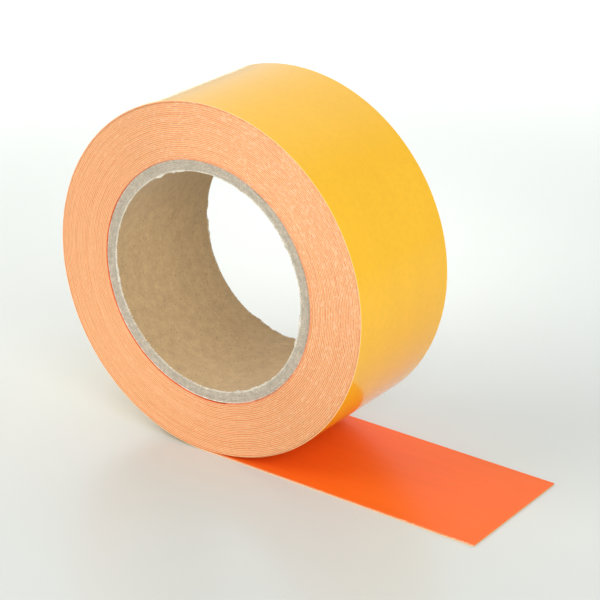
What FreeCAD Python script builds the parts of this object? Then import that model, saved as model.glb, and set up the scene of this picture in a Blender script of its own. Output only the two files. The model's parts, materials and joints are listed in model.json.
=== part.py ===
import FreeCAD, Part
import math
import os

import Sketcher

# A roll of coated tape on a paper core, with its free end pulled out flat.
#
# The tape is a laminate of carrier film, adhesive and release liner. It is wound film side in, so the
# liner is the outside of the roll. The origin is the middle of the core's bore, +Y runs along the bore
# and +Z is up. The outermost turn touches the surface that the roll stands on at X = 0 and leaves along
# +X as a flat strip. All sizes are in mm.

doc = FreeCAD.newDocument("TapeRoll")

# ---------------------------------------------------------------- driving sizes

SIZES = [
    ("bore_diameter", 76.2),
    ("inner_ply_thickness", 0.42),
    ("board_ply_thickness", 0.64),
    ("board_ply_count", 5),
    ("outer_ply_thickness", 0.34),
    ("core_length", 50.8),
    ("tape_width", 50.8),
    ("film_thickness", 0.28),
    ("adhesive_thickness", 0.17),
    ("liner_thickness", 0.14),
    ("winding_gap", 0.035),
    ("wound_turns", 29),
    ("starter_thickness", 0.1),
    ("starter_length", 20.0),
    ("starter_clearance", 0.02),
    ("turn_clearance", 0.2),
    ("strip_clearance", 0.1),
    ("strip_length", 107.0),
    ("peel_length", 27.0),
]

sheet = doc.addObject("Spreadsheet::Sheet", "Sizes")
for row, (alias, value) in enumerate(SIZES, start=1):
    sheet.set(f"A{row}", alias)
    sheet.set(f"B{row}", str(value))
    sheet.setAlias(f"B{row}", alias)
doc.recompute()


def size(alias):
    """The expression that reads one driving size."""
    return f"Sizes.{alias}"


def number(expression):
    """The value of an expression over the sheet, in mm or degrees."""
    return float(getattr(sheet.evalExpression(expression), "Value", sheet.evalExpression(expression)))


# ---------------------------------------------------------------- what follows from them

BORE_RADIUS = f"({size('bore_diameter')} / 2)"
BOARD_RADIUS = f"({BORE_RADIUS} + {size('inner_ply_thickness')})"
OUTER_PLY_RADIUS = f"({BOARD_RADIUS} + {size('board_ply_count')} * {size('board_ply_thickness')})"
CORE_RADIUS = f"({OUTER_PLY_RADIUS} + {size('outer_ply_thickness')})"

# Each layer of the tape, with its offset from the film's free face.
ADHESIVE_OFFSET = size("film_thickness")
LINER_OFFSET = f"({ADHESIVE_OFFSET} + {size('adhesive_thickness')})"
TAPE_THICKNESS = f"({LINER_OFFSET} + {size('liner_thickness')})"
LAYERS = [
    ("film", "0", ADHESIVE_OFFSET),
    ("adhesive", ADHESIVE_OFFSET, LINER_OFFSET),
    ("liner", LINER_OFFSET, TAPE_THICKNESS),
]

TURN_PITCH = f"({TAPE_THICKNESS} + {size('winding_gap')})"
WINDING_START = f"({CORE_RADIUS} + {size('starter_thickness')} + {size('starter_clearance')})"
WOUND_RADIUS = f"({WINDING_START} + {size('wound_turns')} * {TURN_PITCH} + {TAPE_THICKNESS})"
OUTER_TURN_RADIUS = f"({WOUND_RADIUS} + {size('turn_clearance')})"
ROLL_RADIUS = f"({OUTER_TURN_RADIUS} + {TAPE_THICKNESS})"

# The outer turn stops where its outside would come down on the flat strip below it.
STRIP_ROOM = f"({TAPE_THICKNESS} + {size('strip_clearance')})"
OUTER_TURN_SWEEP = f"(360 deg - acos(1 - {STRIP_ROOM} / {ROLL_RADIUS}))"
STARTER_SWEEP = f"({size('starter_length')} / {CORE_RADIUS} * 180 deg / pi)"
RUN_LENGTH = f"({size('strip_length')} - {size('peel_length')})"

made = []


def keep(piece):
    """Notes a finished piece, which is written out under its label."""
    made.append(piece)
    return piece


# ---------------------------------------------------------------- sketches


def new_body(label):
    body = doc.addObject("PartDesign::Body", label)
    body.Label = label
    return body


def new_sketch(body, name, plane):
    """A sketch of the body on one of its own origin planes."""
    sketch = body.newObject("Sketcher::SketchObject", name)
    found = [f for f in body.Origin.OriginFeatures if f.Role == plane]
    sketch.AttachmentSupport = [(found[0], "")]
    sketch.MapMode = "FlatFace"
    return sketch


def name_constraint(sketch, constraint, name, expression):
    """Adds a dimension to the sketch, and binds it to the sheet."""
    index = sketch.addConstraint(constraint)
    sketch.renameConstraint(index, name)
    sketch.setExpression(f"Constraints.{name}", expression)


def draw_ring(sketch, inner, outer):
    """Two circles about the sketch's origin."""
    normal = FreeCAD.Vector(0, 0, 1)
    for name, radius in (("inner_radius", inner), ("outer_radius", outer)):
        index = sketch.addGeometry(Part.Circle(FreeCAD.Vector(0, 0, 0), normal, number(radius)))
        sketch.addConstraint(Sketcher.Constraint("Coincident", index, 3, -1, 1))
        name_constraint(sketch, Sketcher.Constraint("Radius", index, number(radius)), name, radius)


def draw_band(sketch, inner, outer, width):
    """A rectangle below the sketch's horizontal axis, from inner to outer, centred on the vertical."""
    half, near, far = number(width) / 2, -number(inner), -number(outer)
    corners = [(-half, near), (half, near), (half, far), (-half, far)]
    points = [FreeCAD.Vector(x, y, 0) for x, y in corners]
    for i in range(4):
        sketch.addGeometry(Part.LineSegment(points[i], points[(i + 1) % 4]))
    for i in range(4):
        sketch.addConstraint(Sketcher.Constraint("Coincident", i, 2, (i + 1) % 4, 1))
    sketch.addConstraint(Sketcher.Constraint("Vertical", 1))
    sketch.addConstraint(Sketcher.Constraint("Horizontal", 2))
    sketch.addConstraint(Sketcher.Constraint("Vertical", 3))
    sketch.addConstraint(Sketcher.Constraint("Symmetric", 0, 1, 0, 2, -2))
    name_constraint(sketch, Sketcher.Constraint("DistanceX", 0, 1, 0, 2, 2 * half), "width", width)
    name_constraint(sketch, Sketcher.Constraint("DistanceY", 0, 1, -1, 1, -near), "inner_radius", inner)
    name_constraint(sketch, Sketcher.Constraint("DistanceY", 2, 1, -1, 1, -far), "outer_radius", outer)


# ---------------------------------------------------------------- pieces


def core_ply(label, inner, outer):
    """One paper ply of the core: a tube about the Y axis."""
    body = new_body(label)
    sketch = new_sketch(body, f"{label}_ring", "XZ_Plane")
    draw_ring(sketch, inner, outer)
    pad = body.newObject("PartDesign::Pad", f"{label}_pad")
    pad.Profile = sketch
    pad.SideType = "Symmetric"
    pad.setExpression("Length", size("core_length"))
    return keep(body)


def curved_band(label, inner, outer, width, sweep, towards_strip=False):
    """A band of tape bent about the Y axis, from under the axis and away from the flat strip."""
    body = new_body(label)
    sketch = new_sketch(body, f"{label}_section", "YZ_Plane")
    draw_band(sketch, inner, outer, width)
    bend = body.newObject("PartDesign::Revolution", f"{label}_bend")
    bend.Profile = sketch
    bend.ReferenceAxis = (sketch, ["H_Axis"])
    bend.Reversed = towards_strip
    bend.setExpression("Angle", sweep)
    return keep(body)


def flat_band(label, start, length, inner, outer):
    """A flat stretch of one layer, on the surface the roll stands on."""
    box = doc.addObject("Part::Box", label)
    box.Label = label
    box.setExpression("Length", length)
    box.setExpression("Width", size("tape_width"))
    box.setExpression("Height", f"{outer} - {inner}")
    box.setExpression("Placement.Base.x", start)
    box.setExpression("Placement.Base.y", f"-{size('tape_width')} / 2")
    box.setExpression("Placement.Base.z", f"-({OUTER_TURN_RADIUS} + {outer})")
    return keep(box)


def spiral_edges(offset, start_radius, pitch, turns):
    """Half circles that make a spiral, from under the axis outwards by way of the strip's side and the top.

    The half circles on the strip's side have their centre a quarter pitch above the axis and the others a
    quarter pitch below it, so each one starts where the last one ends, with the same tangent.
    """
    edges = []
    for half_turn in range(2 * turns):
        side = 1 if half_turn % 2 == 0 else -1
        radius = start_radius + offset + pitch / 4 + half_turn * pitch / 2
        middle = side * pitch / 4
        points = [(0, middle - side * radius), (side * radius, middle), (0, middle + side * radius)]
        edges.append(Part.Arc(*[FreeCAD.Vector(x, 0, z) for x, z in points]).toShape())
    return edges


def winding(label, inner, outer):
    """All the wound turns of one layer, as one strip of constant thickness rolled into a spiral."""
    start_radius, pitch = number(WINDING_START), number(TURN_PITCH)
    turns = round(number(size("wound_turns")))
    width = number(size("tape_width"))
    inside = spiral_edges(number(inner), start_radius, pitch, turns)
    outside = spiral_edges(number(outer), start_radius, pitch, turns)
    first_cut = Part.makeLine(inside[0].Vertexes[0].Point, outside[0].Vertexes[0].Point)
    last_cut = Part.makeLine(inside[-1].Vertexes[-1].Point, outside[-1].Vertexes[-1].Point)
    outline = Part.Wire(Part.__sortEdges__(inside + [last_cut] + outside + [first_cut]))
    piece = doc.addObject("Part::Feature", label)
    piece.Label = label
    piece.Shape = Part.Face(outline).extrude(FreeCAD.Vector(0, width, 0))
    piece.Placement = FreeCAD.Placement(FreeCAD.Vector(0, -width / 2, 0), FreeCAD.Rotation())
    return keep(piece)


def build_core():
    """The wound paper tube, ply by ply from the bore outwards, and the tape that starts the winding."""
    core_ply("core_inner_ply", BORE_RADIUS, BOARD_RADIUS)
    for i in range(round(number(size("board_ply_count")))):
        inner = f"({BOARD_RADIUS} + {i} * {size('board_ply_thickness')})"
        outer = f"({BOARD_RADIUS} + {i + 1} * {size('board_ply_thickness')})"
        core_ply(f"core_board_ply_{i + 1}", inner, outer)
    core_ply("core_outer_ply", OUTER_PLY_RADIUS, CORE_RADIUS)
    tape_end = f"({CORE_RADIUS} + {size('starter_thickness')})"
    curved_band(
        "starter_tape", CORE_RADIUS, tape_end, size("core_length"), STARTER_SWEEP, towards_strip=True
    )


def build_tape():
    """The tape, layer by layer: the wound turns, the outer turn, the flat strip and the end that peels."""
    for layer, inner, outer in LAYERS:
        winding(f"{layer}_winding", inner, outer)
        curved_band(
            f"{layer}_outer_turn",
            f"({OUTER_TURN_RADIUS} + {inner})",
            f"({OUTER_TURN_RADIUS} + {outer})",
            size("tape_width"),
            OUTER_TURN_SWEEP,
        )
        flat_band(f"{layer}_strip", "0", RUN_LENGTH, inner, outer)
        flat_band(f"{layer}_end", RUN_LENGTH, size("peel_length"), inner, outer)


build_core()
build_tape()
doc.recompute()

# ---------------------------------------------------------------- checks and files

for item in doc.Objects:
    if "Invalid" in item.State or "Error" in item.State:
        raise RuntimeError(f"{item.Name} failed: {item.State}")

os.makedirs("parts", exist_ok=True)
for piece in made:
    shape = piece.Shape
    if shape.isNull() or not shape.isValid() or len(shape.Solids) != 1 or shape.Volume <= 0:
        raise RuntimeError(f"{piece.Label} is not one sound solid")
    shape.exportStep(f"parts/{piece.Label}.step")
    box = shape.BoundBox
    spans = f"X {box.XMin:8.3f} {box.XMax:8.3f}  Z {box.ZMin:8.3f} {box.ZMax:8.3f}"
    print(f"{piece.Label:22s} {shape.Volume:12.2f} mm3  {spans}")

turns = round(number(size("wound_turns")))
mean_radius = (number(WINDING_START) + number(ROLL_RADIUS)) / 2
tape_length = 2 * math.pi * mean_radius * (turns + 1) + number(size("strip_length"))
print(f"roll radius {number(ROLL_RADIUS):.3f} mm, tape length about {tape_length / 1000:.2f} m")
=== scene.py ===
"""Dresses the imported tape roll: paper core, wound turns, outer turn, flat strip and the end that peels."""
import json
import math

import bpy
import numpy as np
from bpy.props import FloatProperty, FloatVectorProperty, IntProperty, PointerProperty
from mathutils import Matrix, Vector


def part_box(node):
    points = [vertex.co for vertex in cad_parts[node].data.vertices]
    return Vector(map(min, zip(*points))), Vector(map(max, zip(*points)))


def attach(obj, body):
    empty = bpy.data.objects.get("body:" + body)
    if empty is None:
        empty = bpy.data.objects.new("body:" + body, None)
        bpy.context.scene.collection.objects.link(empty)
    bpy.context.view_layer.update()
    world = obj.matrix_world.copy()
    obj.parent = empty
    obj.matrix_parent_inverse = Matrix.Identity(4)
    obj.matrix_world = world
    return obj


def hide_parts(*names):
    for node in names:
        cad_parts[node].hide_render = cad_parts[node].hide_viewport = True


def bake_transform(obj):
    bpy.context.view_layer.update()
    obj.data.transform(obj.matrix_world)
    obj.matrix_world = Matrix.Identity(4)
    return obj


bl_info = {
    "name": "Tape roll",
    "version": (1, 0, 0),
    "blender": (4, 5, 0),
    "location": "3D View > Sidebar > Tape roll",
    "description": "Builds the visible surfaces and finishes of a roll of tape on a paper core",
    "category": "Object",
}

MM = 0.001
TURN = 2 * math.pi
CHAMFER = 0.035 * MM  # where the blade rounds a layer's corners
CORE_STEP = 0.4 * MM  # how far the core's sawn ends stand inside the wound turns' sides
PLY_GAP = 0.012 * MM  # between two plies of the core
BURR_REACH = 0.5 * MM  # how far into the bore the torn edge leans in
SKEW = math.tan(math.radians(1.8))  # the strip was pulled off the roll a little askew
RGBA = {"data_type": "RGBA"}
DOT = {"operation": "DOT_PRODUCT"}

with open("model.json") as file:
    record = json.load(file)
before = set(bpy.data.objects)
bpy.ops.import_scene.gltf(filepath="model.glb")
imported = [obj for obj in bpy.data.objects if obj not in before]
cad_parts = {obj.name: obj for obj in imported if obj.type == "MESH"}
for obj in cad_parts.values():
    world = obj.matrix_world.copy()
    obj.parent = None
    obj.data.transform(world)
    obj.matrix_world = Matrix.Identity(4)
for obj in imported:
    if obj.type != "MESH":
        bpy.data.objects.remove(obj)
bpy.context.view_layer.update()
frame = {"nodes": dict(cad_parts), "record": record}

# ------------------------------------------------------------------ sizes read from the frame

LAYERS = ("film", "adhesive", "liner")
PLIES = ("core_inner_ply", *(f"core_board_ply_{i}" for i in range(1, 6)), "core_outer_ply")


def thickness(node):
    """The height of the box round a node that lies flat."""
    low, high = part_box(node)
    return high.z - low.z


def bore_radius():
    """The radius that the record's core_bore mount gives the bore."""
    bore = next(m for m in frame["record"]["mounts"] if m["name"] == "core_bore")
    return bore["dims"]["r_mm"] * MM


LAYER_THICKNESS = {layer: thickness(f"{layer}_strip") for layer in LAYERS}
TAPE_THICKNESS = sum(LAYER_THICKNESS.values())
HALF_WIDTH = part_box("film_strip")[1].y
CORE_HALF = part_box("core_outer_ply")[1].y
CORE_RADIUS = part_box("core_outer_ply")[1].x
OUTER_TURN_INSIDE = -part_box("film_strip")[1].z
ROLL_RADIUS = OUTER_TURN_INSIDE + TAPE_THICKNESS
FLOOR = -ROLL_RADIUS
PEEL_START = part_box("film_end")[0].x
STRIP_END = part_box("film_end")[1].x

OUTER_SWEEP = math.radians(355.5)  # the outer turn, from straight down round to just above the flat strip
THINNED = math.radians(55)  # its last stretch, which thins out
THIN_SHARE = 0.94  # how much of its thickness it loses there
POINTS_PER_TURN = 226
RAMP = 0.03  # the part of a turn in which the wound tape climbs onto its own start
THINNEST = 0.004 * MM  # a layer where the wound tape tapers out
# How far each layer's cut side stands back from the film's.
RECESS = {"film": 0.0, "adhesive": 0.03 * MM, "liner": 0.012 * MM}
FLOOR_REACH = 6.0  # from the middle of the floor to its sides
LOOK_AT = (0.02, 0, -0.02)  # what the softboxes face
# Each lamp's place, target, size, watts, spread in degrees and colour. The washes light only the floor: one
# lights it just behind the roll, where it shows through the bore, and one far back.
SOFTBOXES = {
    "softbox_left": ((-0.75, -0.75, 0.75), LOOK_AT, (0.9, 0.9), 7.6, 180, "#FFFBF5"),
    "softbox_right": ((0.95, -0.7, 0.5), LOOK_AT, (0.8, 0.8), 11.5, 180, "#FFFFFF"),
    "bore_wash": ((-0.1, 0.19, 0.28), (-0.08, 0.13, FLOOR), (0.12, 0.12), 0.04, 50, "#FFFFFF"),
    "floor_wash": ((-0.55, 0.9, 0.45), (-0.5, 0.85, FLOOR), (1.2, 0.6), 12.0, 135, "#FFFFFF"),
}


def linear(code):
    """An sRGB hex colour such as #F5A623 as linear red, green and blue."""
    parts = [int(code[i : i + 2], 16) / 255 for i in (1, 3, 5)]
    return tuple(c / 12.92 if c <= 0.04045 else ((c + 0.055) / 1.055) ** 2.4 for c in parts)


# ------------------------------------------------------------------ what a user may change


class TapeSettings(bpy.types.PropertyGroup):
    """Sizes and colours of the tape."""

    turns: IntProperty(
        name="Wound turns", description="Turns between the core and the outer turn", default=30, min=4, max=80
    )
    first_gap: FloatProperty(
        name="Gap on the core",
        description="Slack between the core and the first turn",
        default=0.1 * MM,
        unit="LENGTH",
        precision=5,
    )
    turn_gap: FloatProperty(
        name="Gap under the outer turn",
        description="Slack between the wound turns and the outer turn",
        default=0.09 * MM,
        unit="LENGTH",
        precision=5,
    )
    slack_share: FloatProperty(
        name="Slack", description="Share of each turn's pitch that is air", default=0.05, subtype="FACTOR"
    )
    edge_wander: FloatProperty(
        name="Edge wander",
        description="How far the cut side of a turn wanders in and out",
        default=0.035 * MM,
        unit="LENGTH",
        precision=5,
    )
    film: FloatVectorProperty(
        name="Film", description="Colour of the film's face", subtype="COLOR", default=linear("#F2671D")
    )
    film_edge: FloatVectorProperty(
        name="Film edge", description="Palest colour of the film where it is cut", subtype="COLOR",
        default=linear("#F3A67C"),
    )
    film_edge_deep: FloatVectorProperty(
        name="Film edge, deep", description="Deepest colour of the film where it is cut", subtype="COLOR",
        default=linear("#E68656"),
    )
    threads_and_highlight: FloatVectorProperty(
        name="Pulled threads", description="Colour of the threads pulled out over the cut film",
        subtype="COLOR", default=linear("#FFE3C2"),
    )
    adhesive: FloatVectorProperty(
        name="Adhesive edge", description="Colour of the adhesive where it is cut", subtype="COLOR",
        default=linear("#EFB292"),
    )
    adhesive_face: FloatVectorProperty(
        name="Adhesive face", description="Colour of the adhesive with the film under it", subtype="COLOR",
        default=linear("#F2A27A"),
    )
    liner: FloatVectorProperty(
        name="Liner", description="Colour of the release liner", subtype="COLOR", default=linear("#F9BD28")
    )
    liner_edge: FloatVectorProperty(
        name="Liner edge", description="Colour of the liner where it is cut", subtype="COLOR",
        default=linear("#FDD98E"),
    )


class CoreSettings(bpy.types.PropertyGroup):
    """Sizes and colours of the paper core."""

    kraft: FloatVectorProperty(
        name="Kraft paper", description="Colour of the ply that lines the bore", subtype="COLOR",
        default=linear("#BFA278"),
    )
    board: FloatVectorProperty(
        name="Grey board", description="Colour of the core's cut end", subtype="COLOR",
        default=linear("#BDB2A0"),
    )
    pale_board: FloatVectorProperty(
        name="Pale ply", description="Colour of the first and last plies' cut edge", subtype="COLOR",
        default=linear("#DCD2C0"),
    )
    torn_board: FloatVectorProperty(
        name="Torn edge", description="Colour of the fibres torn up round the bore's ends", subtype="COLOR",
        default=linear("#D6CEBD"),
    )
    fray: FloatProperty(
        name="Fray", description="How far the cut ends of the plies wander in and out",
        default=0.12 * MM, unit="LENGTH", precision=5,
    )
    burr: FloatProperty(
        name="Burr", description="How far the torn edge leans into the bore",
        default=0.4 * MM, unit="LENGTH", precision=5,
    )


class StageSettings(bpy.types.PropertyGroup):
    """The floor, the lights and the camera."""

    floor: FloatVectorProperty(
        name="Floor", description="Colour of the floor", subtype="COLOR", default=linear("#D2D5D1")
    )
    azimuth: FloatProperty(
        name="Azimuth", description="The camera's direction round the roll, from -Y towards +X",
        default=math.radians(35.55), unit="ROTATION",
    )
    elevation: FloatProperty(
        name="Elevation", description="The camera's height above the horizon", default=math.radians(23.0),
        unit="ROTATION",
    )
    distance: FloatProperty(
        name="Distance", description="From the camera to its target", default=0.73182, unit="LENGTH"
    )
    target_right: FloatProperty(
        name="Target right", description="The target's offset from the bore's middle, to the right",
        default=16.36 * MM, unit="LENGTH", precision=5,
    )
    target_up: FloatProperty(
        name="Target up", description="The target's offset from the bore's middle, upwards",
        default=-13.43 * MM, unit="LENGTH", precision=5,
    )
    lens: FloatProperty(
        name="Lens", description="Focal length on a 36 mm sensor", default=130.57, unit="CAMERA"
    )


# ------------------------------------------------------------------ meshes


def smooth_step(t):
    """0 before 0, 1 after 1, and 3t^2 - 2t^3 between."""
    t = np.clip(t, 0, 1)
    return t * t * (3 - 2 * t)


def wander(t, seed, terms=9, lowest=0.4, highest=40.0, closed=False):
    """A smooth random line over t, about -1 to 1.

    It is a sum of sines of rising frequency and falling height, with seeded phases. A closed line has whole
    frequencies, so that it comes back to its start after t has grown by 1.
    """
    rng = np.random.default_rng(seed)
    frequency = np.geomspace(lowest, highest, terms) * rng.uniform(0.85, 1.15, terms)
    if closed:
        frequency = np.maximum(1, np.round(frequency))
    phase = rng.uniform(0, TURN, terms)
    height = frequency**-0.35
    waves = np.sin(TURN * frequency * np.asarray(t)[..., None] + phase) * height
    return waves.sum(-1) / np.sqrt((height**2).sum())


def grid_faces(rows, columns, closed_rows):
    """Quads over a grid of points. The columns join end to start, and closed rows do too."""
    i = np.arange(rows if closed_rows else rows - 1)[:, None]
    j = np.arange(columns)[None, :]
    i, j = np.broadcast_arrays(i, j)
    i1, j1 = (i + 1) % rows, (j + 1) % columns
    corners = [i * columns + j, i * columns + j1, i1 * columns + j1, i1 * columns + j]
    return np.stack(corners, -1).reshape(-1, 4)


def vertex_places(mesh):
    """The mesh's vertices as an array of (x, y, z)."""
    places = np.empty(len(mesh.vertices) * 3, np.float32)
    mesh.vertices.foreach_get("co", places)
    return places.reshape(-1, 3)


def signed_volume(mesh):
    """The sum over triangles of a x b . c / 6, which is below zero when the faces point inwards."""
    mesh.calc_loop_triangles()
    corners = np.empty(len(mesh.loop_triangles) * 3, np.int32)
    mesh.loop_triangles.foreach_get("vertices", corners)
    a, b, c = vertex_places(mesh)[corners.reshape(-1, 3)].transpose(1, 0, 2).astype(float)
    return float((np.cross(a, b) * c).sum() / 6)


def add_mesh(name, points, material, web=None, sharp_degrees=30.0):
    """A piece from a grid of points: rows go along the path, and columns go round its closed section.

    web is each point's place on the unrolled tape, kept as an attribute for the patterns. A piece with a web
    has two ends, which get flat caps, so that it is a closed solid; one without a web closes on itself.
    """
    rows, columns = points.shape[:2]
    faces = grid_faces(rows, columns, web is None).tolist()
    if web is not None:
        faces.append(list(range(columns))[::-1])
        faces.append([(rows - 1) * columns + j for j in range(columns)])
    mesh = bpy.data.meshes.new(name)
    mesh.from_pydata(points.reshape(-1, 3).tolist(), [], faces)
    mesh.validate()
    if signed_volume(mesh) < 0:
        mesh.flip_normals()
    mesh.polygons.foreach_set("use_smooth", [True] * len(mesh.polygons))
    mesh.set_sharp_from_angle(angle=math.radians(sharp_degrees))
    if web is not None:
        attribute = mesh.attributes.new("web", "FLOAT_VECTOR", "POINT")
        attribute.data.foreach_set("vector", web.astype(np.float32).ravel())
    mesh.materials.append(material)
    piece = bpy.data.objects.new(name, mesh)
    bpy.context.scene.collection.objects.link(piece)
    return piece


def ribbon_profile(inner, outer, half, shift):
    """Eight points round a ribbon's section as (depth, side): a rectangle with its four corners cut off.

    depth runs from the inner to the outer face, and side across the width about shift; all may change along
    the path.
    """
    inner, outer, half, shift = np.broadcast_arrays(inner, outer, half, shift)
    cut = np.minimum(CHAMFER, 0.3 * (outer - inner))
    depth = [inner, inner + cut, outer - cut, outer, outer, outer - cut, inner + cut, inner]
    side = [-half + cut, -half, -half, -half + cut, half - cut, half, half, half - cut]
    return np.stack(depth, -1), np.stack(side, -1) + shift[:, None]


def bent_ribbon(angle, inner, outer, half, shift):
    """Points and web of a ribbon wound about the Y axis.

    angle is counted from straight down towards +X; a point at depth r and side y stands at
    (r sin angle, y, -r cos angle), and its web place is (arc length so far, y, r).
    """
    depth, side = ribbon_profile(inner, outer, half, shift)
    sine, cosine = np.sin(angle)[:, None], np.cos(angle)[:, None]
    arc = np.cumsum(np.diff(angle, prepend=angle[0]) * depth[:, 0])
    web = np.stack([np.broadcast_to(arc[:, None], depth.shape), side, depth], -1)
    return np.stack([depth * sine, side, -depth * cosine], -1), web


def flat_ribbon(x, inner, outer):
    """Points and web of a ribbon that lies flat and a little askew.

    At length x, depth r and side y its point is (x, y - skew x, -r), and its web place is (x, y, r).
    """
    depth, side = ribbon_profile(np.full(len(x), inner), outer, HALF_WIDTH, 0.0)
    along = np.broadcast_to(x[:, None], depth.shape)
    return np.stack([along, side - SKEW * along, -depth], -1), np.stack([along, side, depth], -1)


def tissue_ribbon(half):
    """Points and web of the tissue tape: a ribbon bent round the core over the angles that its node spans."""
    places = vertex_places(frame["nodes"]["starter_tape"].data)
    turned = np.arctan2(places[:, 0], -places[:, 2])
    radius = np.hypot(places[:, 0], places[:, 2])
    angle = np.linspace(turned.min(), turned.max(), 90)
    return bent_ribbon(angle, radius.min(), radius.max(), np.full(len(angle), half), 0.0)


def core_ply(name, inner, outer, fray, burr, seed, material):
    """One ply of the core as a closed tube.

    Its section runs along the inner wall, over an end, back along the outer wall and over the other end. At
    angle a, each end stands short of the core's by fray times a random line in a. Near an end the inner wall
    leans in by burr times another random line, which fades over half a millimetre.
    """
    angle = np.linspace(0, TURN, 1200, endpoint=False)[:, None]
    along = np.array([-1, -1, -0.992, -0.97, -0.92, -0.7, -0.25, 0.25, 0.7, 0.92, 0.97, 0.992, 1, 1])
    cap = np.array([1, *[0] * (len(along) - 2), 1])
    shoulder = 0.16 * (outer - inner)
    reach = np.exp((np.abs(along) - 1) * CORE_HALF / BURR_REACH)
    walls = []
    for wall in (0, 1):
        short = [wander(angle / TURN, 11 * seed + 2 * wall + k, terms=22, lowest=2, highest=300, closed=True)
                 for k in (0, 1)]
        end = CORE_HALF - CORE_STEP - 0.5 * fray * (1 - np.where(along < 0, *short))
        y = along * (end - shoulder * (1 - cap))
        torn = [wander(angle / TURN, 7 + seed + k, terms=16, lowest=4, highest=110, closed=True)
                for k in (0, 1)]
        lean = (1 - wall) * burr * reach * np.clip(np.where(along < 0, *torn), 0, 2)
        base = outer - shoulder * cap if wall else inner + PLY_GAP + shoulder * cap
        walls.append((base - lean, y))
    radius = np.concatenate([walls[0][0], walls[1][0][:, ::-1]], 1)
    y = np.concatenate([walls[0][1], walls[1][1][:, ::-1]], 1)
    points = np.stack([radius * np.sin(angle), y, -radius * np.cos(angle)], -1)
    return add_mesh(name, points, material, sharp_degrees=40)


# ------------------------------------------------------------------ materials


def add(tree, kind, settings=None, **inputs):
    """Adds a node and sets its properties and inputs.

    An input is named by its label, with _ for a space, or by its place, as _0. A node or an output given for
    it is linked, a node by its first output in use, and anything else is set.
    """
    node = tree.nodes.new(kind)
    for key, value in (settings or {}).items():
        setattr(node, key, value)
    for key, value in inputs.items():
        label = key.replace("_", " ")
        socket = node.inputs[int(key[1:])] if key[0] == "_" else next(
            s for s in node.inputs if s.enabled and s.name == label
        )
        if isinstance(value, bpy.types.Node):
            value = next(output for output in value.outputs if output.enabled)
        if isinstance(value, bpy.types.NodeSocket):
            tree.links.new(value, socket)
        else:
            socket.default_value = (*value, 1.0) if socket.type == "RGBA" else value
    return node


def new_material(name):
    """An empty material and its node tree."""
    material = bpy.data.materials.new(name)
    material.use_nodes = True
    material.node_tree.nodes.clear()
    return material, material.node_tree


def shade(colour, factor):
    """The colour times factor, which makes it lighter or darker; no part of it passes 1."""
    return tuple(min(1.0, c * factor) for c in colour)


def web_and_side(tree):
    """The place on the unrolled tape, and a mask that is 1 on the tape's cut sides and 0 on its faces."""
    web = add(tree, "ShaderNodeAttribute", {"attribute_name": "web"}).outputs["Vector"]
    across = add(tree, "ShaderNodeSeparateXYZ", Vector=web).outputs["Y"]
    side = add(tree, "ShaderNodeMath", {"operation": "ABSOLUTE"}, _0=across)
    side = add(tree, "ShaderNodeMapRange", Value=side,
               From_Min=HALF_WIDTH - 0.25 * MM, From_Max=HALF_WIDTH - 0.15 * MM)
    return web, side


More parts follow.
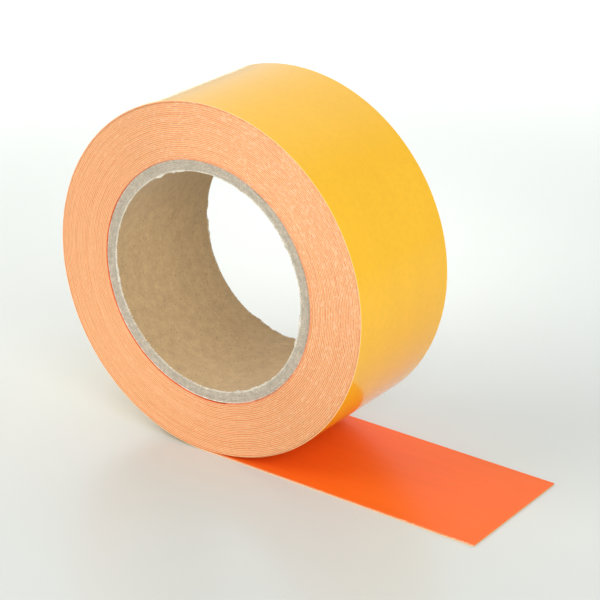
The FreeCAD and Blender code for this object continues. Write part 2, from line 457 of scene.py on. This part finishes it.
def film_material(name, props):
    """Calendered vinyl film, dyed through: an even satin gloss, paler and rougher where a blade cut it."""
    material, tree = new_material(name)
    web, side = web_and_side(tree)
    # Calendering leaves faint streaks along the web, about 3 mm wide and 40 mm long.
    streaked = add(tree, "ShaderNodeMapping", Vector=web, Scale=(0.075, 1, 1))
    streak = add(tree, "ShaderNodeTexNoise", Vector=streaked, Scale=1 / (3 * MM), Detail=3.0)
    streak = add(tree, "ShaderNodeMapRange", Value=streak, From_Min=0.3, From_Max=0.7)
    dark, light = shade(props.film, 0.98), shade(props.film, 1.02)
    face = add(tree, "ShaderNodeMix", RGBA, Factor=streak, A=dark, B=light)
    # The blade drags the cut side along the web: marks 0.3 mm deep and 2 mm long, and turns that differ.
    dragged = add(tree, "ShaderNodeMapping", Vector=web, Scale=(0.15, 1, 1))
    drag = add(tree, "ShaderNodeTexNoise", Vector=dragged, Scale=1 / (0.3 * MM), Detail=4.0, Roughness=0.6)
    turned = add(tree, "ShaderNodeMapping", Vector=web, Scale=(0.01, 1, 1))
    turn = add(tree, "ShaderNodeTexNoise", Vector=turned, Scale=1 / (0.9 * MM), Detail=2.0)
    marks_and_painted_shade = add(tree, "ShaderNodeMath", {"operation": "ADD"}, _0=drag, _1=turn)
    # Painted shade: the cut side's colour is pushed towards its deep colour towards the bottom right of the
    # roll, and a little lighter over the top left half.
    place = add(tree, "ShaderNodeTexCoord").outputs["Object"]
    painted_shade_side = add(tree, "ShaderNodeVectorMath", DOT, _0=place, _1=(0.62, 0, -0.78))
    painted_shade_side = add(tree, "ShaderNodeMapRange", Value=painted_shade_side, From_Max=50 * MM, To_Min=0.06, To_Max=-0.12)
    marks_and_painted_shade = add(tree, "ShaderNodeMath", {"operation": "ADD"}, _0=marks_and_painted_shade, _1=painted_shade_side)
    marks_and_painted_shade = add(tree, "ShaderNodeMapRange", Value=marks_and_painted_shade, From_Min=0.75, From_Max=1.25)
    cut = add(tree, "ShaderNodeMix", RGBA, Factor=marks_and_painted_shade, A=props.film_edge_deep, B=props.film_edge)
    # It also pulls out pale threads of adhesive, 1 to 2 mm long, which are real; their share is painted
    # higher towards the top right of the roll and lower towards the bottom left, a painted highlight.
    pulled = add(tree, "ShaderNodeMapping", Vector=web, Scale=(0.3, 1, 1))
    threads_and_highlight = add(tree, "ShaderNodeTexNoise", Vector=pulled, Scale=1 / (0.36 * MM), Detail=3.0, Roughness=0.6)
    painted_highlight_side = add(tree, "ShaderNodeVectorMath", DOT, _0=place, _1=(0.8, 0, 0.6))
    painted_highlight_side = add(tree, "ShaderNodeMapRange", Value=painted_highlight_side, From_Min=-20 * MM, From_Max=50 * MM,
                To_Min=-0.06, To_Max=0.04)
    threads_and_highlight = add(tree, "ShaderNodeMath", {"operation": "ADD"}, _0=threads_and_highlight, _1=painted_highlight_side)
    threads_and_highlight = add(tree, "ShaderNodeMapRange", Value=threads_and_highlight, From_Min=0.55, From_Max=0.66, To_Max=0.6)
    cut = add(tree, "ShaderNodeMix", RGBA, Factor=threads_and_highlight, A=cut, B=props.threads_and_highlight)
    colour = add(tree, "ShaderNodeMix", RGBA, Factor=side, A=face, B=cut)
    smear = add(tree, "ShaderNodeTexNoise", Vector=web, Scale=1 / (9 * MM), Detail=4.0)
    satin = add(tree, "ShaderNodeMapRange", Value=smear, From_Min=0.3, From_Max=0.7, To_Min=0.3, To_Max=0.36)
    rough = add(tree, "ShaderNodeMix", Factor=side, A=satin, B=0.6)
    grain = add(tree, "ShaderNodeTexNoise", Vector=web, Scale=1 / (0.5 * MM), Detail=2.0)
    relief = add(tree, "ShaderNodeMix", Factor=side, A=grain, B=drag)
    bump = add(tree, "ShaderNodeBump", Strength=0.08, Distance=0.05 * MM, Height=relief)
    shader = add(tree, "ShaderNodeBsdfPrincipled", Base_Color=colour, Roughness=rough, Normal=bump, IOR=1.5,
                 Specular_IOR_Level=0.13)
    add(tree, "ShaderNodeOutputMaterial", Surface=shader)
    return material


def adhesive_material(name, props):
    """Acrylic adhesive: milky over the film, with a wet shine, and pale, matt and dusty at its cut side."""
    material, tree = new_material(name)
    web, side = web_and_side(tree)
    # Coated bars 2.5 mm apart run along the web under the open face.
    barred = add(tree, "ShaderNodeMapping", Vector=web, Scale=(0.05, 1, 1))
    bar = add(tree, "ShaderNodeTexNoise", Vector=barred, Scale=1 / (2.5 * MM), Detail=2.0)
    bar = add(tree, "ShaderNodeMapRange", Value=bar, From_Min=0.3, From_Max=0.7)
    dark = shade(props.adhesive_face, 0.93)
    face = add(tree, "ShaderNodeMix", RGBA, Factor=bar, A=dark, B=props.adhesive_face)
    dragged = add(tree, "ShaderNodeMapping", Vector=web, Scale=(0.12, 1, 1))
    dust = add(tree, "ShaderNodeTexNoise", Vector=dragged, Scale=1 / (0.3 * MM), Detail=3.0)
    dust = add(tree, "ShaderNodeMapRange", Value=dust, From_Min=0.3, From_Max=0.68)
    cut = add(tree, "ShaderNodeMix", RGBA, Factor=dust, A=shade(props.adhesive, 0.8), B=props.adhesive)
    colour = add(tree, "ShaderNodeMix", RGBA, Factor=side, A=face, B=cut)
    rough = add(tree, "ShaderNodeMix", Factor=side, A=0.22, B=0.65)
    shader = add(tree, "ShaderNodeBsdfPrincipled", Base_Color=colour, Roughness=rough, IOR=1.47)
    add(tree, "ShaderNodeOutputMaterial", Surface=shader)
    return material


def liner_material(name, props):
    """Siliconised release paper: a honey-yellow glossy coat, with the paper's clouds faint under it."""
    material, tree = new_material(name)
    web, side = web_and_side(tree)
    # Paper fibres flock into clouds about 2 mm across, and the coat pools in bands along the web.
    cloud = add(tree, "ShaderNodeTexNoise", Vector=web, Scale=1 / (2.2 * MM), Detail=4.0, Roughness=0.6)
    flock = add(tree, "ShaderNodeMapRange", Value=cloud, From_Min=0.3, From_Max=0.72)
    dark, light = shade(props.liner, 0.955), shade(props.liner, 1.03)
    cloudy = add(tree, "ShaderNodeMix", RGBA, Factor=flock, A=dark, B=light)
    pooled = add(tree, "ShaderNodeMapping", Vector=web, Scale=(0.3, 1, 1))
    band = add(tree, "ShaderNodeTexNoise", Vector=pooled, Scale=1 / (12 * MM), Detail=2.0)
    band = add(tree, "ShaderNodeMapRange", Value=band, From_Min=0.35, From_Max=0.7, To_Max=0.4)
    face = add(tree, "ShaderNodeMix", RGBA, Factor=band, A=cloudy, B=shade(props.liner, 0.92))
    colour = add(tree, "ShaderNodeMix", RGBA, Factor=side, A=face, B=props.liner_edge)
    gloss = add(tree, "ShaderNodeMapRange", Value=cloud, From_Min=0.3, From_Max=0.7, To_Min=0.11, To_Max=0.15)
    rough = add(tree, "ShaderNodeMix", Factor=side, A=gloss, B=0.6)
    wave = add(tree, "ShaderNodeTexNoise", Vector=web, Scale=1 / (7 * MM), Detail=2.0)
    bump = add(tree, "ShaderNodeBump", Strength=0.1, Distance=0.06 * MM, Height=wave)
    shader = add(tree, "ShaderNodeBsdfPrincipled", Base_Color=colour, Roughness=rough, Normal=bump, IOR=1.45)
    add(tree, "ShaderNodeOutputMaterial", Surface=shader)
    return material


def paper_material(name, face, end, bump_depth):
    """Recycled paper board: matt, mottled, flecked with dark and pale fibres, and woolly where it was cut."""
    material, tree = new_material(name)
    place = add(tree, "ShaderNodeTexCoord").outputs["Object"]
    mottle = add(tree, "ShaderNodeTexNoise", Vector=place, Scale=1 / (3 * MM), Detail=5.0, Roughness=0.62)
    tone = add(tree, "ShaderNodeMapRange", Value=mottle, From_Min=0.3, From_Max=0.72)
    faced = add(tree, "ShaderNodeMix", RGBA, Factor=tone, A=shade(face, 0.87), B=shade(face, 1.08))
    # Bark and shive leave dark specks 0.8 mm long, and bleached fibres leave a few pale ones.
    speck = add(tree, "ShaderNodeTexNoise", Vector=place, Scale=1 / (0.8 * MM), Detail=2.0, Roughness=0.4)
    dark = add(tree, "ShaderNodeMapRange", Value=speck, From_Min=0.63, From_Max=0.72, To_Max=0.55)
    pale = add(tree, "ShaderNodeMapRange", Value=speck, From_Min=0.36, From_Max=0.28, To_Max=0.45)
    faced = add(tree, "ShaderNodeMix", RGBA, Factor=dark, A=faced, B=shade(face, 0.5))
    faced = add(tree, "ShaderNodeMix", RGBA, Factor=pale, A=faced, B=shade(face, 1.45))
    # The saw pulls grey fibres over the edge, so the end's grey starts at a ragged line up to 0.8 mm inside.
    wool = add(tree, "ShaderNodeTexNoise", Vector=place, Scale=1 / (0.55 * MM), Detail=3.0, Roughness=0.65)
    across = add(tree, "ShaderNodeSeparateXYZ", Vector=place).outputs["Y"]
    edge = add(tree, "ShaderNodeMath", {"operation": "ABSOLUTE"}, _0=across)
    ragged = add(tree, "ShaderNodeMath", {"operation": "MULTIPLY_ADD"}, _0=wool, _1=2.4 * MM, _2=edge)
    start = CORE_HALF - CORE_STEP + 0.85 * MM
    cut = add(tree, "ShaderNodeMapRange", Value=ragged, From_Min=start - 0.1 * MM, From_Max=start)
    flake = add(tree, "ShaderNodeTexNoise", Vector=place, Scale=1 / (1.9 * MM), Detail=5.0, Roughness=0.78)
    fleck = add(tree, "ShaderNodeMath", {"operation": "ADD"}, _0=wool, _1=flake)
    fleck = add(tree, "ShaderNodeMapRange", Value=fleck, From_Min=0.82, From_Max=1.22)
    ended = add(tree, "ShaderNodeMix", RGBA, Factor=fleck, A=shade(end, 0.77), B=shade(end, 1.22))
    colour = add(tree, "ShaderNodeMix", RGBA, Factor=cut, A=faced, B=ended)
    height = add(tree, "ShaderNodeMath", {"operation": "MULTIPLY_ADD"}, _0=wool, _1=0.8, _2=mottle)
    bump = add(tree, "ShaderNodeBump", Strength=0.5, Distance=bump_depth, Height=height)
    shader = add(tree, "ShaderNodeBsdfPrincipled", Base_Color=colour, Roughness=0.88, Normal=bump, IOR=1.45,
                 Specular_IOR_Level=0.25, Sheen_Weight=0.12, Sheen_Roughness=0.6)
    add(tree, "ShaderNodeOutputMaterial", Surface=shader)
    return material


def tissue_material():
    """Tissue tape: off-white, matt, hidden under the first turn."""
    material, tree = new_material("tissue tape")
    place = add(tree, "ShaderNodeTexCoord").outputs["Object"]
    fleck = add(tree, "ShaderNodeTexNoise", Vector=place, Scale=1 / (1 * MM), Detail=3.0)
    fleck = add(tree, "ShaderNodeMapRange", Value=fleck, From_Min=0.3, From_Max=0.7)
    colour = add(tree, "ShaderNodeMix", RGBA, Factor=fleck, A=linear("#D9D2C4"), B=linear("#EDE8DD"))
    shader = add(tree, "ShaderNodeBsdfPrincipled", Base_Color=colour, Roughness=0.8)
    add(tree, "ShaderNodeOutputMaterial", Surface=shader)
    return material


def floor_material(colour):
    """Satin white acrylic sheet: even, with a soft reflection of what stands on it."""
    material, tree = new_material("white acrylic sheet")
    place = add(tree, "ShaderNodeTexCoord").outputs["Object"]
    drift = add(tree, "ShaderNodeTexNoise", Vector=place, Scale=1 / 0.4, Detail=1.0)
    tone = add(tree, "ShaderNodeMapRange", Value=drift, From_Min=0.3, From_Max=0.7)
    tone = add(tree, "ShaderNodeMix", RGBA, Factor=tone, A=shade(colour, 0.985), B=shade(colour, 1.01))
    shader = add(tree, "ShaderNodeBsdfPrincipled", Base_Color=tone, Roughness=0.25, IOR=1.49,
                 Specular_IOR_Level=0.35)
    add(tree, "ShaderNodeOutputMaterial", Surface=shader)
    return material


def studio_world():
    """The studio's walls, which light evenly, with a white sweep behind the roll that shows in the gloss."""
    world = bpy.data.worlds.new("white studio")
    world.use_nodes = True
    tree = world.node_tree
    tree.nodes.clear()
    way = add(tree, "ShaderNodeTexCoord").outputs["Generated"]
    sweep = add(tree, "ShaderNodeVectorMath", DOT, _0=way, _1=(-0.4, 0.8, 0.45))
    mirrored = add(tree, "ShaderNodeMapRange", {"interpolation_type": "SMOOTHSTEP"}, Value=sweep,
                   From_Min=0.7, From_Max=0.97, To_Min=0.45, To_Max=1.15)
    # Only the gloss sees the sweep, and everything else is lit by an even grey.
    glossy = add(tree, "ShaderNodeLightPath").outputs["Is Glossy Ray"]
    strength = add(tree, "ShaderNodeMix", Factor=glossy, A=0.56, B=mirrored)
    background = add(tree, "ShaderNodeBackground", Color=linear("#F6FAFB"), Strength=strength)
    add(tree, "ShaderNodeOutputWorld", Surface=background)
    return world


LAYER_FINISHES = {
    "film": ("orange vinyl film", film_material),
    "adhesive": ("milky acrylic adhesive", adhesive_material),
    "liner": ("yellow siliconised release liner", liner_material),
}


def layer_material(layer):
    """The layer's material, made the first time it is asked for."""
    name, make = LAYER_FINISHES[layer]
    return bpy.data.materials.get(name) or make(name, bpy.context.scene.tape_roll_tape)


def add_layer(name, layer, ribbon):
    """A piece of one layer of the tape, from its ribbon's points and web."""
    points, web = ribbon
    piece = add_mesh(name, points, layer_material(layer), web)
    return piece


# ------------------------------------------------------------------ operators


class TAPE_OT_core(bpy.types.Operator):
    """Build the seven plies of the paper core and dress the tissue tape on it"""

    bl_idname = "tape.core"
    bl_label = "Core"

    def execute(self, context):
        props = context.scene.tape_roll_core
        kraft = paper_material("brown kraft paper", props.kraft, props.torn_board, 0.12 * MM)
        board = paper_material("grey core board", props.board, props.board, 0.2 * MM)
        pale = paper_material("pale kraft paper", props.kraft, props.pale_board, 0.15 * MM)
        finishes = {
            "core_inner_ply": (kraft, 1.6 * props.fray, props.burr),
            "core_outer_ply": (pale, props.fray, 0),
        }
        inner = bore_radius()
        for seed, node in enumerate(PLIES):
            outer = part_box(node)[1].x
            material, fray, burr = finishes.get(node, (board, props.fray, 0))
            piece = core_ply(f"paper_{node}", inner, outer, fray, burr, seed, material)
            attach(piece, "roll")
            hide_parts(node)
            inner = outer
        points, web = tissue_ribbon(CORE_HALF - CORE_STEP - props.fray)
        tissue = add_mesh("tissue_starter_tape", points, tissue_material(), web)
        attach(tissue, "roll")
        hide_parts("starter_tape")
        return {"FINISHED"}


class TAPE_OT_winding(bpy.types.Operator):
    """Wind the three layers of tape onto the core"""

    bl_idname = "tape.winding"
    bl_label = "Wound turns"

    def execute(self, context):
        props = context.scene.tape_roll_tape
        first = CORE_RADIUS + props.first_gap
        last = OUTER_TURN_INSIDE - props.turn_gap
        pitch = (last - first) / props.turns
        film_first = LAYER_THICKNESS["film"]
        # t counts turns: the first one is only the film's thin start, and the last one tapers off.
        t = np.linspace(RAMP, props.turns + 1 - RAMP, props.turns * POINTS_PER_TURN + 1)

        def boundary(s):
            """The radius between turns: a circle on the core, an even rise, then the outer turn's circle."""
            started = first + np.clip((s - 1 + RAMP) / RAMP, 0, 1) * film_first
            rising = started + (pitch - film_first) * np.clip(s - 1, 0, 1)
            return np.minimum(rising + pitch * np.maximum(s - 2, 0), last)

        inner, outer = boundary(t), boundary(t + 1)
        total = (outer - inner) * (1 - props.slack_share)
        film_share = film_first / TAPE_THICKNESS
        adhesive_share = LAYER_THICKNESS["adhesive"] / (TAPE_THICKNESS - film_first)
        film = np.where(t < 1, np.minimum(film_first, total), total * film_share)
        glued = film + (total - film) * adhesive_share
        bounds = {"film": (0, film), "adhesive": (film, glued), "liner": (glued, total)}
        shift = props.edge_wander * wander(t, seed=3, terms=14, lowest=0.3, highest=24)
        ripple = 0.4 * props.edge_wander * wander(t, seed=17, terms=10, lowest=6, highest=70)
        for layer, (low, high) in bounds.items():
            half = HALF_WIDTH - props.edge_wander - RECESS[layer] + ripple
            high = np.maximum(high, low + THINNEST)
            ribbon = bent_ribbon(TURN * t, inner + low, inner + high, half, shift)
            piece = add_layer(f"wound_{layer}", layer, ribbon)
            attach(piece, "roll")
            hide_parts(f"{layer}_winding")
        return {"FINISHED"}


class TAPE_OT_outer_turn(bpy.types.Operator):
    """Wrap the outermost turn round the wound ones, from the flat strip round to just above it"""

    bl_idname = "tape.outer_turn"
    bl_label = "Outer turn"

    def execute(self, context):
        props = context.scene.tape_roll_tape
        turn = np.linspace(0, 1, 481)
        angle = turn * OUTER_SWEEP
        # The tape's far end thins out against the turns under it, where the real one runs on into them.
        thin = 1 - THIN_SHARE * smooth_step((angle - OUTER_SWEEP + THINNED) / THINNED)
        # It runs true where the flat strip leaves it, and wanders from an eighth of a turn on.
        shift = props.edge_wander * 0.4 * wander(turn, seed=29, terms=6, lowest=0.5, highest=9)
        shift = shift * smooth_step(turn * 8)
        depth = 0.0
        for layer in LAYERS:
            low, high = depth, depth + LAYER_THICKNESS[layer]
            inner, outer = OUTER_TURN_INSIDE + low * thin, OUTER_TURN_INSIDE + high * thin
            ribbon = bent_ribbon(-angle, inner, outer, HALF_WIDTH, shift)
            piece = add_layer(f"outer_{layer}", layer, ribbon)
            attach(piece, "outer_turn")
            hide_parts(f"{layer}_outer_turn")
            depth = high
        return {"FINISHED"}


class TAPE_OT_strip(bpy.types.Operator):
    """Lay the flat strip between the roll and the end that peels"""

    bl_idname = "tape.strip"
    bl_label = "Flat strip"

    def execute(self, context):
        x = np.linspace(0, PEEL_START, 160)
        depth = OUTER_TURN_INSIDE
        for layer in LAYERS:
            ribbon = flat_ribbon(x, depth, depth + LAYER_THICKNESS[layer])
            depth += LAYER_THICKNESS[layer]
            piece = add_layer(f"strip_{layer}", layer, ribbon)
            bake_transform(piece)
            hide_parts(f"{layer}_strip")
        return {"FINISHED"}


class TAPE_OT_end(bpy.types.Operator):
    """Make the free end, in the same three flat layers as the strip"""

    bl_idname = "tape.free_end"
    bl_label = "Free end"

    def execute(self, context):
        x = np.linspace(PEEL_START, STRIP_END, 90)
        depth = OUTER_TURN_INSIDE
        for layer in LAYERS:
            ribbon = flat_ribbon(x, depth, depth + LAYER_THICKNESS[layer])
            depth += LAYER_THICKNESS[layer]
            piece = add_layer(f"end_{layer}", layer, ribbon)
            if layer == "liner":
                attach(piece, "laid_strip")
            else:
                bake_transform(piece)
            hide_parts(f"{layer}_end")
        return {"FINISHED"}


def add_softbox(name, place, target, size, watts, spread_degrees, colour):
    """A rectangular lamp that faces its target.

    It lights the roll but isn't mirrored in it, like a lamp behind a large sheet of diffusing cloth.
    """
    light = bpy.data.lights.new(name, "AREA")
    light.shape = "RECTANGLE"
    light.size, light.size_y = size
    light.energy = watts
    light.spread = math.radians(spread_degrees)
    light.color = linear(colour)
    lamp = bpy.data.objects.new(name, light)
    lamp.location = place
    lamp.rotation_euler = (Vector(target) - Vector(place)).to_track_quat("-Z", "Y").to_euler()
    lamp.visible_glossy = False
    bpy.context.scene.collection.objects.link(lamp)


def add_camera(props):
    """The camera, which stands back from its target along the view's direction."""
    a, e = props.azimuth, props.elevation
    right = Vector((math.cos(a), math.sin(a), 0))
    back = Vector((math.sin(a) * math.cos(e), -math.cos(a) * math.cos(e), math.sin(e)))
    up = back.cross(right)
    camera = bpy.data.objects.new("camera", bpy.data.cameras.new("camera"))
    camera.data.lens = props.lens
    camera.data.sensor_width = 36.0
    camera.data.clip_start, camera.data.clip_end = 0.01, 50.0
    camera.location = right * props.target_right + up * props.target_up + back * props.distance
    camera.rotation_euler = back.to_track_quat("Z", "Y").to_euler()
    bpy.context.scene.collection.objects.link(camera)
    return camera


class TAPE_OT_stage(bpy.types.Operator):
    """Set the pale floor, the soft studio lights and the camera"""

    bl_idname = "tape.stage"
    bl_label = "Stage"

    def execute(self, context):
        props = context.scene.tape_roll_stage
        mesh = bpy.data.meshes.new("floor")
        corners = [(x * FLOOR_REACH, y * FLOOR_REACH, FLOOR) for x, y in ((-1, -1), (1, -1), (1, 1), (-1, 1))]
        mesh.from_pydata(corners, [], [(0, 1, 2, 3)])
        mesh.materials.append(floor_material(props.floor))
        floor = bpy.data.objects.new("floor", mesh)
        context.scene.collection.objects.link(floor)

        context.scene.world = studio_world()
        for name, lamp in SOFTBOXES.items():
            add_softbox(name, *lamp)
        context.scene.camera = add_camera(props)
        context.scene.view_settings.view_transform = "Standard"
        return {"FINISHED"}


class TAPE_PT_panel(bpy.types.Panel):
    """Lists the roll's operators and settings"""

    bl_label = "Tape roll"
    bl_idname = "TAPE_PT_panel"
    bl_space_type = "VIEW_3D"
    bl_region_type = "UI"
    bl_category = "Tape roll"

    def draw(self, context):
        for operator in OPERATORS:
            self.layout.operator(operator.bl_idname)
        for name in SETTINGS:
            group = getattr(context.scene, name)
            for key in group.bl_rna.properties.keys():
                if key not in ("rna_type", "name"):
                    self.layout.prop(group, key)


SETTINGS = {
    "tape_roll_tape": TapeSettings,
    "tape_roll_core": CoreSettings,
    "tape_roll_stage": StageSettings,
}
OPERATORS = (TAPE_OT_core, TAPE_OT_winding, TAPE_OT_outer_turn, TAPE_OT_strip, TAPE_OT_end, TAPE_OT_stage)


def register():
    """Register the classes and hang the settings on the scene."""
    for group in SETTINGS.values():
        bpy.utils.register_class(group)
    for operator in OPERATORS:
        bpy.utils.register_class(operator)
    bpy.utils.register_class(TAPE_PT_panel)
    for name, group in SETTINGS.items():
        setattr(bpy.types.Scene, name, PointerProperty(type=group))


def unregister():
    """Undo what register does, in the opposite order."""
    for name in SETTINGS:
        delattr(bpy.types.Scene, name)
    bpy.utils.unregister_class(TAPE_PT_panel)
    for operator in reversed(OPERATORS):
        bpy.utils.unregister_class(operator)
    for group in reversed(SETTINGS.values()):
        bpy.utils.unregister_class(group)


def main():
    """Build every piece in order."""
    register()
    bpy.ops.tape.core()
    bpy.ops.tape.winding()
    bpy.ops.tape.outer_turn()
    bpy.ops.tape.strip()
    bpy.ops.tape.free_end()
    bpy.ops.tape.stage()


if __name__ == "__main__":
    main()
